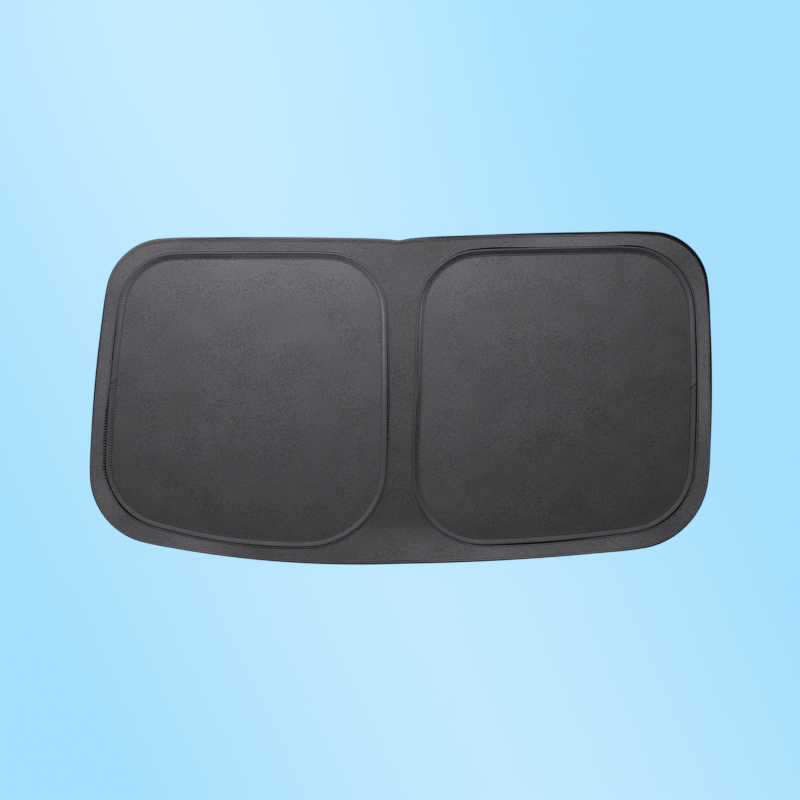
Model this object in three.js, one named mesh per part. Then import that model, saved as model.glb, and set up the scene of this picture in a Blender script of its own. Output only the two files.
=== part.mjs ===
// A twist-fold sunshade for a car's side window, lying flat with its window side down.
// One cloth makes both lobes. Round each lobe a tape is sewn down as a tunnel, with a hoop of spring wire
// in it whose ends meet in a crimped sleeve, and a folded tape binds the cloth's raw edge.
// Millimetres, +X to the right lobe, +Y to the top edge, +Z away from the window.

import * as THREE from 'three';

// The whole shade's length and height, to its outermost edge.
const shadeLength = 700;
const shadeHeight = 375;

// Hoops: four-sided loops with bowed sides, on the wire's centre line. A corner's place is given before it
// is rounded, from the shade's end or middle and from its top or bottom.
const leftHoop = {
  outerTop: { fromEnd: 43.5, fromTop: 28, round: 62.5 },
  outerBottom: { fromEnd: 18.5, fromBottom: 63.5, round: 72.5 },
  innerBottom: { fromMiddle: 22, fromBottom: 29.5, round: 89 },
  innerTop: { fromMiddle: 20.5, fromTop: 27.5, round: 65 },
  bow: { outer: 6.5, bottom: 22, inner: 4, top: 2.5 },
};
const rightHoop = {
  outerTop: { fromEnd: 26.5, fromTop: 19.5, round: 70.5 },
  outerBottom: { fromEnd: 26.5, fromBottom: 48.5, round: 77 },
  innerBottom: { fromMiddle: 13.5, fromBottom: 24.5, round: 76 },
  innerTop: { fromMiddle: 23, fromTop: 26, round: 68.5 },
  bow: { outer: 7.5, bottom: 9, inner: 0.5, top: 2.5 },
};

// Spring wire, and the crimped sleeve on its two ends.
const wireDiameter = 1.4;
const wireEndGap = 0.6;
const sleeveLength = 16;
const sleeveWall = 0.3;
const sleeveFit = 0.25;
const crimpDepth = 0.15;
const crimpWidth = 2.5;
const crimpSpacing = 7;

// Casing tape: a steep wall on the hoop's outer side, and a slope down to the panel on its inner side.
const tapeThickness = 0.4;
const tunnelClearance = 0.3;
const slopeAngle = 42;
const outerFoot = 2;
const innerFoot = 1.4;
const lapLength = 12;
const lapSlant = 43;
const lapOffset = 2;

// Cloth, and the binding folded over its edge.
const clothThickness = 0.5;
const flangeWidth = 17;
const bindingThickness = 0.4;
const bindingWidth = 4.5;
const bindingFit = 0.3;

// The bound edge's own corners, its lower side below the hoops' corners, and the shallow notch between the
// lobes at the top.
const edgeRound = { leftTop: 67.5, leftBottom: 79, rightBottom: 87.5, rightTop: 63.5, bridge: 400 };
const skirt = { left: 29.5, middle: 24, right: 24.5, leftBow: 11.7, rightBow: 4.7 };
const notch = { x: -3, drop: 0.9, round: 24, shoulder: 60 };

// How far a straight facet may stray from an outline's true arc, and the facets of the small round forms.
const chordError = 0.15;
const wireFacets = 8;
const sleeveFacets = 16;
const crownFacets = 4;

const wireRadius = wireDiameter / 2;
const sleeveBore = wireRadius + sleeveFit;
const sleeveRadius = sleeveBore + sleeveWall;
const tunnelRadius = sleeveRadius + tunnelClearance;
const casingRadius = tunnelRadius + tapeThickness;
const clothBottom = bindingThickness;
const clothTop = clothBottom + clothThickness;
const bindingTop = clothTop + bindingThickness;
const wireHeight = clothTop + tunnelRadius;
const edgeOffset = casingRadius + flangeWidth;
const slope = THREE.MathUtils.degToRad(slopeAngle);
const slant = Math.tan(THREE.MathUtils.degToRad(lapSlant));

const cloth = new THREE.MeshStandardMaterial({ color: 0x55555a, roughness: 0.9, metalness: 0 });
const tape = new THREE.MeshStandardMaterial({ color: 0x48484d, roughness: 0.85, metalness: 0 });
const bindingTape = new THREE.MeshStandardMaterial({ color: 0x2f2f33, roughness: 0.85, metalness: 0 });
const springSteel = new THREE.MeshStandardMaterial({ color: 0x9a9da1, roughness: 0.35, metalness: 1 });
const crimpSteel = new THREE.MeshStandardMaterial({ color: 0xb4b6b8, roughness: 0.3, metalness: 1 });

// A corner's place from the middle of the part. A lobe is to the left, -1, or to the right, 1.
function placeOf(corner, lobe) {
  const x = corner.fromEnd === undefined ? corner.fromMiddle : shadeLength / 2 - corner.fromEnd;
  const y = corner.fromTop === undefined
    ? corner.fromBottom - shadeHeight / 2
    : shadeHeight / 2 - corner.fromTop;
  return new THREE.Vector2(lobe * x, y);
}

// Outlines are chains of arcs that meet tangent. An arc's radius is positive where it bulges outwards and
// negative where it dips, so a point on it is its centre plus radius times the outward normal.

// The arc from one corner to the next, counter-clockwise round the part, bulging outwards by its bow.
function bowedSide(from, to, bow) {
  const half = from.distanceTo(to) / 2;
  const radius = (half * half + bow * bow) / (2 * bow);
  const outward = to.clone().sub(from).normalize().rotateAround(new THREE.Vector2(), -Math.PI / 2);
  const centre = from.clone().add(to).multiplyScalar(0.5).addScaledVector(outward, bow - radius);
  return { centre, radius };
}

// The same arc moved outwards.
function movedOut(side, distance) {
  return { centre: side.centre, radius: side.radius + distance };
}

// The arc of the given radius that touches two sides near a point.
function roundedCorner(before, after, radius, near) {
  const reach = Math.abs(before.radius - radius);
  const reachAfter = Math.abs(after.radius - radius);
  const line = after.centre.clone().sub(before.centre);
  const span = line.length();
  const along = (reach * reach - reachAfter * reachAfter + span * span) / (2 * span);
  const across = Math.sqrt(Math.max(reach * reach - along * along, 0));
  const foot = before.centre.clone().addScaledVector(line, along / span);
  const sideways = new THREE.Vector2(-line.y, line.x).divideScalar(span);
  const choices = [across, -across].map((shift) => foot.clone().addScaledVector(sideways, shift));
  choices.sort((a, b) => a.distanceTo(near) - b.distanceTo(near));
  return { centre: choices[0], radius };
}

// The outward normal's angle where two touching arcs meet.
function meetingAngle(side, corner) {
  const normal = corner.centre.clone().sub(side.centre).divideScalar(side.radius - corner.radius);
  return Math.atan2(normal.y, normal.x);
}

// 1 where two sides turn outwards at the point where they meet, and -1 where they turn inwards.
function cornerSign(before, after, point) {
  const [first, second] = [before, after].map((side) => point.clone().sub(side.centre).angle());
  return Math.sign(shortestTurn(second - first)) || 1;
}

// Joins sides and the corners after each of them into one closed chain of arcs.
function closedChain(sides, corners) {
  const count = sides.length;
  const arcs = [];
  for (let i = 0; i < count; i += 1) {
    const side = sides[i];
    const next = sides[(i + 1) % count];
    const previousCorner = corners[(i + count - 1) % count];
    const corner = corners[i];
    arcs.push({ ...side, from: meetingAngle(side, previousCorner), to: meetingAngle(side, corner) });
    arcs.push({ ...corner, from: meetingAngle(side, corner), to: meetingAngle(next, corner) });
  }
  return arcs.map((arc) => ({ ...arc, turn: shortestTurn(arc.to - arc.from) }));
}

function shortestTurn(angle) {
  return angle - 2 * Math.PI * Math.round(angle / (2 * Math.PI));
}

// Stations along a chain, close enough that the facets keep to the arcs.
function stationsOf(arcs) {
  return arcs.flatMap((arc) => {
    const step = 2 * Math.acos(1 - chordError / Math.abs(arc.radius));
    const count = Math.max(1, Math.ceil(Math.abs(arc.turn) / step));
    return Array.from({ length: count }, (_, k) => ({
      centre: arc.centre, radius: arc.radius, angle: arc.from + (arc.turn * k) / count,
    }));
  });
}

// The point at a station, so far outwards from the chain and so far on along it.
function pointAt(station, out, on = 0) {
  const reach = station.radius + out;
  const cos = Math.cos(station.angle);
  const sin = Math.sin(station.angle);
  return new THREE.Vector2(
    station.centre.x + reach * cos - on * sin,
    station.centre.y + reach * sin + on * cos,
  );
}

// Carries a section of [out, height] points, counter-clockwise seen with outwards to the right, along the
// stations. A closed sweep runs round to its start, and an open one has flat ends.
function sweep(stations, section, closed) {
  const positions = [];
  stations.forEach((station) => {
    const shape = typeof section === 'function' ? section(station) : section;
    shape.forEach(([out, height]) => {
      const point = pointAt(station, out, (station.skew ?? 0) * out);
      positions.push(point.x, point.y, height);
    });
  });
  const size = positions.length / 3 / stations.length;
  const faces = [];
  const rows = closed ? stations.length : stations.length - 1;
  for (let row = 0; row < rows; row += 1) {
    const here = row * size;
    const there = ((row + 1) % stations.length) * size;
    for (let k = 0; k < size; k += 1) {
      const next = (k + 1) % size;
      faces.push(here + k, there + k, there + next, here + k, there + next, here + next);
    }
  }
  if (!closed) {
    const last = (stations.length - 1) * size;
    for (let k = 1; k < size - 1; k += 1) {
      faces.push(0, k, k + 1, last, last + k + 1, last + k);
    }
  }
  const geometry = new THREE.BufferGeometry();
  geometry.setAttribute('position', new THREE.Float32BufferAttribute(positions, 3));
  geometry.setIndex(faces);
  return geometry;
}

// A hoop's four sides, its corners' places and its chain, counter-clockwise from the side where the wire's
// ends meet. Each corner named follows the side of the same place in the list.
function hoopLoop(hoop, lobe, sideNames, cornerNames) {
  const count = sideNames.length;
  const places = cornerNames.map((name) => placeOf(hoop[name], lobe));
  const sides = sideNames.map((name, k) => (
    bowedSide(places[(k + count - 1) % count], places[k], hoop.bow[name])
  ));
  const corners = cornerNames.map((name, k) => (
    roundedCorner(sides[k], sides[(k + 1) % count], hoop[name].round, places[k])
  ));
  const namedSides = Object.fromEntries(sideNames.map((name, k) => [name, sides[k]]));
  const namedPlaces = Object.fromEntries(cornerNames.map((name, k) => [name, places[k]]));
  return { ...namedSides, ...namedPlaces, chain: closedChain(sides, corners) };
}

const left = hoopLoop(
  leftHoop,
  -1,
  ['inner', 'top', 'outer', 'bottom'],
  ['innerTop', 'outerTop', 'outerBottom', 'innerBottom'],
);
const right = hoopLoop(
  rightHoop,
  1,
  ['inner', 'bottom', 'outer', 'top'],
  ['innerBottom', 'outerBottom', 'outerTop', 'innerTop'],
);

// The wire leaves the middle of the inner side, runs round, and comes back to a small gap there.
function wireStations(chain) {
  const [inner, ...rest] = chain;
  const middle = inner.from + inner.turn / 2;
  const halfGap = wireEndGap / 2 / inner.radius;
  const first = { ...inner, from: middle + halfGap, turn: inner.turn / 2 - halfGap };
  const last = { ...inner, turn: inner.turn / 2 - halfGap };
  const end = { centre: inner.centre, radius: inner.radius, angle: middle - halfGap };
  return [...stationsOf([first, ...rest, last]), end];
}

function wireSection() {
  return Array.from({ length: wireFacets }, (_, k) => {
    const angle = (2 * Math.PI * (k + 0.5)) / wireFacets;
    return [wireRadius * Math.cos(angle), wireHeight + wireRadius * Math.sin(angle)];
  });
}

function springWire(chain) {
  return sweep(wireStations(chain), wireSection(), false);
}

// A turned sleeve with two crimped waists.
function wireSleeve() {
  const end = sleeveLength / 2;
  const profile = [[sleeveBore, -end], [sleeveRadius, -end]];
  [-1, 1].forEach((side) => {
    const middle = (side * crimpSpacing) / 2;
    const half = crimpWidth / 2;
    profile.push([sleeveRadius, middle - half], [sleeveRadius - crimpDepth, middle - half / 2]);
    profile.push([sleeveRadius - crimpDepth, middle + half / 2], [sleeveRadius, middle + half]);
  });
  profile.push([sleeveRadius, end], [sleeveBore, end], [sleeveBore, -end]);
  return new THREE.LatheGeometry(profile.map(([x, y]) => new THREE.Vector2(x, y)), sleeveFacets);
}

// The sleeve's axis lies along the hoop where the wire's ends meet.
function placeSleeve(mesh, chain) {
  const [inner] = chain;
  const station = { ...inner, angle: inner.from + inner.turn / 2 };
  const place = pointAt(station, 0);
  mesh.position.set(place.x, place.y, wireHeight);
  mesh.rotation.z = station.angle;
}

// Casing tape.

function casingSection(lift) {
  const crown = (radius) => Array.from({ length: crownFacets + 1 }, (_, k) => {
    const angle = ((Math.PI / 2 + slope) * k) / crownFacets;
    return [radius * Math.cos(angle), wireHeight + radius * Math.sin(angle)];
  });
  const slopeFoot = (radius, height) => {
    const rise = wireHeight + radius * Math.cos(slope) - height;
    return [-radius * Math.sin(slope) - rise / Math.tan(slope), height];
  };
  const footTop = clothTop + tapeThickness + lift;
  const outerRadius = casingRadius + lift;
  const innerEdge = slopeFoot(casingRadius, clothTop + tapeThickness)[0] - innerFoot;
  return [
    [tunnelRadius, clothTop],
    [casingRadius + outerFoot, clothTop],
    [casingRadius + outerFoot, footTop],
    [outerRadius, footTop],
    ...crown(outerRadius),
    slopeFoot(outerRadius, footTop),
    [innerEdge, footTop],
    [innerEdge, clothTop],
    slopeFoot(tunnelRadius, clothTop),
    ...crown(tunnelRadius).reverse(),
  ];
}

// The tape's end laps over its start on the hoop's outer side, with slanting ends.
function casing(hoop) {
  const outer = hoop.chain.find((arc) => arc.centre === hoop.outer.centre);
  const lapMiddle = outer.from + outer.turn / 2 + lapOffset / outer.radius;
  const ramp = tapeThickness;
  const edges = [-lapLength / 2 - ramp, -lapLength / 2, lapLength / 2, lapLength / 2 + ramp];
  const lap = edges.map((shift, k) => ({
    centre: outer.centre,
    radius: outer.radius,
    angle: lapMiddle + shift / outer.radius,
    lift: k === 1 || k === 2 ? tapeThickness : 0,
    skew: slant,
  }));
  const isNearLap = (station) => station.centre === outer.centre
    && Math.abs(station.angle - lapMiddle) * outer.radius < lapLength;
  const plain = stationsOf(hoop.chain).filter((station) => !isNearLap(station));
  const place = plain.findIndex((station) => station.centre === outer.centre && station.angle > lapMiddle);
  plain.splice(place, 0, ...lap);
  return sweep(plain, (station) => casingSection(station.lift ?? 0), true);
}

// Cloth and binding.

function edgeChain() {
  const [leftOuter, leftTop] = [left.outer, left.top].map((side) => movedOut(side, edgeOffset));
  const [rightOuter, rightTop] = [right.outer, right.top].map((side) => movedOut(side, edgeOffset));
  const below = (place, distance) => new THREE.Vector2(place.x, place.y - distance);
  const leftFoot = below(left.outerBottom, skirt.left);
  const rightFoot = below(right.outerBottom, skirt.right);
  const bridgeFoot = below(right.innerBottom, skirt.middle).setX(0);
  const leftBottom = bowedSide(leftFoot, bridgeFoot, skirt.leftBow);
  const rightBottom = bowedSide(bridgeFoot, rightFoot, skirt.rightBow);
  const heightOver = (side, x) => side.centre.y + Math.sqrt(side.radius ** 2 - (x - side.centre.x) ** 2);
  const notchY = Math.min(heightOver(leftTop, notch.x), heightOver(rightTop, notch.x)) - notch.drop;
  const dip = { centre: new THREE.Vector2(notch.x, notchY + notch.round), radius: -notch.round };
  const bridgeRound = edgeRound.bridge * cornerSign(leftBottom, rightBottom, bridgeFoot);
  const corners = [
    roundedCorner(leftOuter, leftBottom, edgeRound.leftBottom, leftFoot),
    roundedCorner(leftBottom, rightBottom, bridgeRound, bridgeFoot),
    roundedCorner(rightBottom, rightOuter, edgeRound.rightBottom, rightFoot),
    roundedCorner(rightOuter, rightTop, edgeRound.rightTop, right.outerTop),
    roundedCorner(rightTop, dip, notch.shoulder, right.innerTop),
    roundedCorner(dip, leftTop, notch.shoulder, left.innerTop),
    roundedCorner(leftTop, leftOuter, edgeRound.leftTop, left.outerTop),
  ];
  return closedChain([leftOuter, leftBottom, rightBottom, rightOuter, rightTop, dip, leftTop], corners);
}

function baseSheet(stations) {
  const inset = -(bindingThickness + bindingFit);
  const outline = new THREE.Shape(stations.map((station) => pointAt(station, inset)));
  const geometry = new THREE.ExtrudeGeometry(outline, { depth: clothThickness, bevelEnabled: false });
  return geometry.translate(0, 0, clothBottom);
}

// The tape's two legs lie on the cloth's faces, and its fold is half round.
function bindingSection() {
  const fold = bindingTop / 2;
  const inside = fold - bindingThickness;
  return [
    [-bindingWidth, 0],
    [-fold, 0],
    [-fold * (1 - Math.SQRT1_2), fold * (1 - Math.SQRT1_2)],
    [0, fold],
    [-fold * (1 - Math.SQRT1_2), fold * (1 + Math.SQRT1_2)],
    [-fold, bindingTop],
    [-bindingWidth, bindingTop],
    [-bindingWidth, clothTop],
    [-fold, clothTop],
    [-fold + inside, fold],
    [-fold, clothBottom],
    [-bindingWidth, clothBottom],
  ];
}

const part = new THREE.Group();

function addPiece(name, geometry, material) {
  const mesh = new THREE.Mesh(geometry, material);
  mesh.name = name;
  part.add(mesh);
  return mesh;
}

const edgeStations = stationsOf(edgeChain());
addPiece('base_sheet', baseSheet(edgeStations), cloth);
addPiece('edge_binding', sweep(edgeStations, bindingSection(), true), bindingTape);

Object.entries({ left, right }).forEach(([side, hoop]) => {
  addPiece(`${side}_wire_casing`, casing(hoop), tape);
  addPiece(`${side}_spring_wire`, springWire(hoop.chain), springSteel);
  placeSleeve(addPiece(`${side}_wire_ferrule`, wireSleeve(), crimpSteel), hoop.chain);
});

// The origin lies under the middle of the bound edge.
const bounds = new THREE.Box3().setFromObject(part);
const middle = bounds.getCenter(new THREE.Vector3());
part.children.forEach((mesh) => mesh.position.sub(new THREE.Vector3(middle.x, middle.y, 0)));

export default part;
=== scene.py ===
# Dresses the frame of a twist-fold side window sunshade in cloth, casing tape, binding and thread, and sets
# it on a pale floor under soft light. Lengths are in metres, with the right lobe towards +X, the shade's top
# edge towards +Y and the window side down.

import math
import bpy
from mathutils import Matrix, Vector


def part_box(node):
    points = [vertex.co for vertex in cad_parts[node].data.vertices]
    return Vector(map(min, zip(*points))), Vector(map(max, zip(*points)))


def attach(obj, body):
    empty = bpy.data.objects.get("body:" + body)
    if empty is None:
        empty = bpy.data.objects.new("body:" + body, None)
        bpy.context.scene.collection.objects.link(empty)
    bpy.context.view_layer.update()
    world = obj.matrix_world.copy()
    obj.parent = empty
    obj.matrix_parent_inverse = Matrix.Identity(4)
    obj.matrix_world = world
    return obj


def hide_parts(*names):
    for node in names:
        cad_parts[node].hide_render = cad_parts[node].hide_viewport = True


bl_info = {
    "name": "Side window sunshade",
    "version": (1, 0, 0),
    "blender": (4, 5, 0),
    "location": "3D View > Sidebar > Sunshade",
    "description": "Makes a sunshade's cloth, casings, binding and stitching round its frame, and a stage",
    "category": "Add Mesh",
}

import bpy
import numpy as np
from mathutils import Vector
from mathutils.geometry import convex_hull_2d, delaunay_2d_cdt
from mathutils.kdtree import KDTree

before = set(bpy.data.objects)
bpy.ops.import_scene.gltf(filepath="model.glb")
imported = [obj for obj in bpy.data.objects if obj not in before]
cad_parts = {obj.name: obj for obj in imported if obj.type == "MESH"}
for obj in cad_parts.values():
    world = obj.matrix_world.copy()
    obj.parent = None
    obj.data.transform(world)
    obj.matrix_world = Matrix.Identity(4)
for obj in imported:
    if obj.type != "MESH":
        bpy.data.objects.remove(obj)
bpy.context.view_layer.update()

BODY = "root"
MM = 0.001
LOBES = ("left", "right")

# Heights and thicknesses that the frame gives.
sheet_low, sheet_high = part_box("base_sheet")
binding_low, binding_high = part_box("edge_binding")
wire_low, wire_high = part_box("left_spring_wire")
CLOTH_BOTTOM = sheet_low.z
CLOTH_TOP = sheet_high.z
CLOTH = CLOTH_TOP - CLOTH_BOTTOM
TAPE = CLOTH_BOTTOM - binding_low.z
FOLD = (binding_high.x - binding_low.x - sheet_high.x + sheet_low.x) / 2
WIRE = (wire_high.z - wire_low.z) / 2
TUNNEL = (wire_low.z + wire_high.z) / 2 - CLOTH_TOP
CROWN = TUNNEL + TAPE


# Lines round the part, seen from above

def smooth_loop(corners, pieces=24):
    """A smooth closed line through the corners, with cubic pieces that share each corner's direction."""
    back = corners - np.roll(corners, 1, 0)
    on = np.roll(corners, -1, 0) - corners
    back_length = np.linalg.norm(back, axis=1, keepdims=True)
    on_length = np.linalg.norm(on, axis=1, keepdims=True)
    way = back / back_length * on_length + on / on_length * back_length
    way = way / np.linalg.norm(way, axis=1, keepdims=True)
    t = np.linspace(0, 1, pieces, endpoint=False)[None, :, None]
    start, end = corners[:, None], np.roll(corners, -1, 0)[:, None]
    leave = (way * on_length)[:, None]
    arrive = (np.roll(way, -1, 0) * on_length)[:, None]
    line = (
        (2 * t**3 - 3 * t**2 + 1) * start
        + (t**3 - 2 * t**2 + t) * leave
        + (3 * t**2 - 2 * t**3) * end
        + (t**3 - t**2) * arrive
    )
    return line.reshape(-1, 2)


def outward_sides(points):
    """The outward direction at each point of a closed counter-clockwise line."""
    way = np.roll(points, -1, 0) - np.roll(points, 1, 0)
    side = np.stack([way[:, 1], -way[:, 0]], 1)
    return side / np.linalg.norm(side, axis=1, keepdims=True)


def eased(share):
    """0 below 0, 1 above 1, and smooth between."""
    share = np.clip(share, 0, 1)
    return share * share * (3 - 2 * share)


def bell(offset, width):
    """1 at no offset, falling smoothly to 0 on both sides."""
    return np.exp(-((offset / width) ** 2))


class Rail:
    """A closed line that pieces follow, with its outward side and the distance along it."""

    def __init__(self, corners, spacing, outwards):
        fine = smooth_loop(corners)
        fine = fine + outward_sides(fine) * outwards
        closed = np.vstack([fine, fine[:1]])
        gaps = np.linalg.norm(np.diff(closed, axis=0), axis=1)
        ends = np.concatenate([[0], np.cumsum(gaps)])
        self.length = ends[-1]
        self.count = round(self.length / spacing)
        self.step = self.length / self.count
        self.distances = np.arange(self.count) * self.step
        self.points = np.stack([np.interp(self.distances, ends, closed[:, k]) for k in (0, 1)], 1)
        self.sides = outward_sides(self.points)
        self.tree = KDTree(self.count)
        for k, (x, y) in enumerate(self.points):
            self.tree.insert((x, y, 0), k)
        self.tree.balance()

    def place(self, distance, out):
        """The points so far along the line and so far outwards from it."""
        at = np.asarray(distance) / self.step
        low = np.floor(at).astype(int)
        share = (at - low)[..., None]
        low, high = low % self.count, (low + 1) % self.count
        point = self.points[low] * (1 - share) + self.points[high] * share
        side = self.sides[low] * (1 - share) + self.sides[high] * share
        return point + side * np.asarray(out)[..., None]

    def locate(self, points):
        """How far outwards from the line each point lies, and how far along it."""
        nearest = np.array([self.tree.find((x, y, 0))[1] for x, y in points])
        offset = points - self.points[nearest]
        side = self.sides[nearest]
        out = (offset * side).sum(1)
        on = offset[:, 1] * side[:, 0] - offset[:, 0] * side[:, 1]
        return out, self.distances[nearest] + on

    def distance_at(self, place):
        """How far along the line the point nearest to one place lies."""
        return self.locate(np.array([place]))[1][0]

    def wrapped(self, offset):
        """The same offset along the closed line, taken the shorter way round."""
        return (offset + self.length / 2) % self.length - self.length / 2

    def nearness(self, distance, place, reach):
        """1 at the part of the line nearest to a place, easing to 0 at reach along it, all in metres."""
        return eased(1 - np.abs(self.wrapped(distance - self.distance_at(place))) / reach)

    def strength(self, distance, base, places):
        """A base value raised near each place, which gives its x, y and reach in millimetres, then its
        value."""
        value = np.full(np.shape(distance), float(base))
        for x, y, reach, peak in places:
            near = self.nearness(distance, (x * MM, y * MM), reach * MM)
            value = np.maximum(value, base + (peak - base) * near)
        return value

    def drift(self, distance, shortest, longest, seed):
        """A smooth random rise and fall along the closed line, mostly between -1 and 1."""
        random = np.random.default_rng(seed)
        cycles = np.arange(max(1, round(self.length / longest)), round(self.length / shortest) + 1)
        phases = random.uniform(0, 2 * math.pi, len(cycles))
        total = np.zeros(np.shape(distance))
        for cycle, phase in zip(cycles, phases):
            total += np.cos(2 * math.pi * cycle * distance / self.length + phase)
        return total / math.sqrt(2 * len(cycles))


def wander(points, wavelength, seed, waves=14):
    """A smooth random rise and fall over the plane, mostly between -1 and 1."""
    random = np.random.default_rng(seed)
    total = np.zeros(len(points))
    for _ in range(waves):
        angle, phase = random.uniform(0, 2 * math.pi, 2)
        cycles = 1 / (wavelength * random.uniform(0.7, 1.5))
        along = points[:, 0] * math.cos(angle) + points[:, 1] * math.sin(angle)
        total += np.cos(2 * math.pi * cycles * along + phase)
    return total / math.sqrt(2 * waves)


def plan_points(node):
    """A node's different points, seen from above."""
    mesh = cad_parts[node].data
    points = np.empty(len(mesh.vertices) * 3)
    mesh.vertices.foreach_get("co", points)
    return np.unique(points.reshape(-1, 3)[:, :2].round(6), axis=0)


def edge_corners():
    """The sheet's outline, counter-clockwise from its own points."""
    points = plan_points("base_sheet")
    return points[np.argsort(np.arctan2(points[:, 1], points[:, 0]))]


def hoop_corners(lobe):
    """The outermost line of a spring wire, counter-clockwise from its own points."""
    points = plan_points(f"{lobe}_spring_wire")
    hull = points[convex_hull_2d([Vector(point) for point in points])]
    turned = (hull[:, 0] * np.roll(hull[:, 1], -1) - np.roll(hull[:, 0], -1) * hull[:, 1]).sum()
    hull = hull if turned > 0 else hull[::-1]
    apart = np.linalg.norm(hull - np.roll(hull, 1, 0), axis=1) > MM
    return hull[apart]


RAIL_SPACING = 0.5 * MM
edge = Rail(edge_corners(), RAIL_SPACING, FOLD)
hoops = {lobe: Rail(hoop_corners(lobe), RAIL_SPACING, -WIRE) for lobe in LOBES}


# How the cloth lies, and the light and shade painted on it. A place gives x and y, the reach along the seam
# and a value, in millimetres and parts.

CREVICES = {
    "left": (
        (-16, -3, 125, 0.75), (-322, 55, 60, 0.8), (-330, -30, 60, 1.4), (-334, -80, 60, 1.2),
        (-309, -122, 34, 1.1),
    ),
    "right": (
        (105, 165, 55, 1), (262, 171, 30, 0.8), (305, 140, 90, 0.55), (332, 20, 150, 1), (305, -122, 40, 0.9),
        (157, -166, 85, 1),
    ),
}
DOTTED = {
    "left": ((-16, -3, 140, 0.9), (-331, -45, 85, 1)),
    "right": ((336, -50, 90, 0.7), (15, -20, 160, 0.5)),
}
CREASES = {
    "left": ((-150, 162, 60, 0.25),),
    "right": ((200, 168, 95, 1), (13, 20, 120, 0.7)),
}
PUCKER = 0.25
PUCKERS = {
    "left": ((-285, 140, 110, 0.9), (-325, -60, 130, 1), (-215, 162, 60, 1)),
    "right": ((300, 130, 90, 1), (330, -20, 120, 0.7), (15, -20, 120, 0.4)),
}
# Painted light on each casing's slope, which lies in shade: the tape's colour raised up to the given times,
# by place.
CASING_PAINTED_LIGHT = {
    "left": ((-150, 165, 300, 2.9), (-20, 90, 150, 2.0)),
    "right": ((40, 110, 170, 2.5), (200, 168, 150, 1.6), (300, 130, 110, 1.4)),
}
EDGE_RISE = 0.8
EDGE_RISES = ((350, 20, 230, 5.6), (-345, -50, 210, 5), (150, -180, 230, 4.4), (-200, -180, 160, 3))
# Painted light and shade on the cloth outside the panels: darker on the band between the lobes, and lighter
# or darker by place along the flange.
BAND_PAINTED_SHADE = 0.84
FLANGE_PAINTED_LIGHT_BASE = 0.72
FLANGE_PAINTED_LIGHT = (
    (350, 0, 270, 1.5), (60, -185, 330, 1.6), (-345, -30, 250, 1.3), (230, 187, 190, 1.36),
    (-320, 170, 110, 1.1), (240, -170, 170, 1.68), (320, -130, 110, 1.5), (-250, -165, 150, 1.6),
    (-330, -110, 100, 1.5), (-150, 183, 180, 0.82),
)


def crevice(lobe, distance):
    """How wide the seam beside a casing's outer wall stands open, as a share of the widest."""
    return hoops[lobe].strength(distance, 0, CREVICES[lobe])


def lip_start(lobe, distance):
    """How far out from a hoop's line the flange starts to rise beside the casing."""
    return CROWN + 0.1 * MM + bpy.context.scene.sunshade_cloth.crevice * crevice(lobe, distance)


def length_setting(name, description, default):
    return bpy.props.FloatProperty(name=name, description=description, default=default, unit="LENGTH")


def colour_setting(name, description, default):
    return bpy.props.FloatVectorProperty(
        name=name, description=description, default=default, subtype="COLOR"
    )


class ClothSettings(bpy.types.PropertyGroup):
    spacing: length_setting("Mesh spacing", "Distance between the cloth's points", 2.75 * MM)
    crown: length_setting("Panel crown", "How far a lobe's panel bulges", 2.6 * MM)
    slack: length_setting("Slack", "Height of the cloth's slow waves", 0.28 * MM)
    pucker: length_setting("Seam pucker", "Height of the short waves beside a seam", 0.1 * MM)
    lip: length_setting("Lip", "How high the flange rises beside a casing", 2.8 * MM)
    lip_width: length_setting("Lip width", "Distance in which the flange rises", 1.2 * MM)
    crevice: length_setting("Crevice", "Width of the open seam beside a casing", 0.95 * MM)
    thread_pitch: length_setting("Thread pitch", "Distance between the weave's threads", 0.62 * MM)
    colour: colour_setting("Colour", "The cloth's colour", (0.125, 0.120, 0.130))


class CasingSettings(bpy.types.PropertyGroup):
    slope: bpy.props.FloatProperty(
        name="Inner slope", description="Steepness of the casing's panel side", default=math.radians(42),
        subtype="ANGLE"
    )
    inner_foot: length_setting("Inner foot", "Width of the tape sewn down on the panel", 1.4 * MM)
    flat: length_setting("Flat", "How far past its inner foot the tape lies flat before it rises", 0.7 * MM)
    crown_round: length_setting("Crown round", "Radius between the crown and the outer wall", 0.85 * MM)
    crease: length_setting("Crease", "Depth of the crown's crease, where the wire leaves room", 0.7 * MM)
    pucker: length_setting("Pucker", "Height of the ridges that the stitches draw up", 0.3 * MM)
    stitch_pitch: length_setting("Stitch pitch", "Distance from stitch to stitch", 3.2 * MM)
    colour: colour_setting("Colour", "The tape's colour", (0.110, 0.106, 0.116))


class BindingSettings(bpy.types.PropertyGroup):
    width: length_setting("Width", "Width of the binding on each face", 4.5 * MM)
    pucker: length_setting("Pucker", "Height of the waves between stitches", 0.12 * MM)
    roll: length_setting("Roll", "How far the tape bulges between its fold and its stitches", 0.2 * MM)
    stitch_pitch: length_setting("Stitch pitch", "Distance from stitch to stitch", 4.9 * MM)
    colour: colour_setting("Colour", "The tape's colour", (0.128, 0.122, 0.130))
    edge_colour: colour_setting("Edge colour", "The colour of the tape's fold", (0.0015, 0.002, 0.003))


class ThreadSettings(bpy.types.PropertyGroup):
    diameter: length_setting("Diameter", "Thickness of the sewing thread", 0.42 * MM)
    gap: length_setting("Gap", "Distance between one stitch and the next", 0.7 * MM)
    colour: colour_setting("Colour", "The thread's colour", (0.075, 0.073, 0.079))


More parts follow.
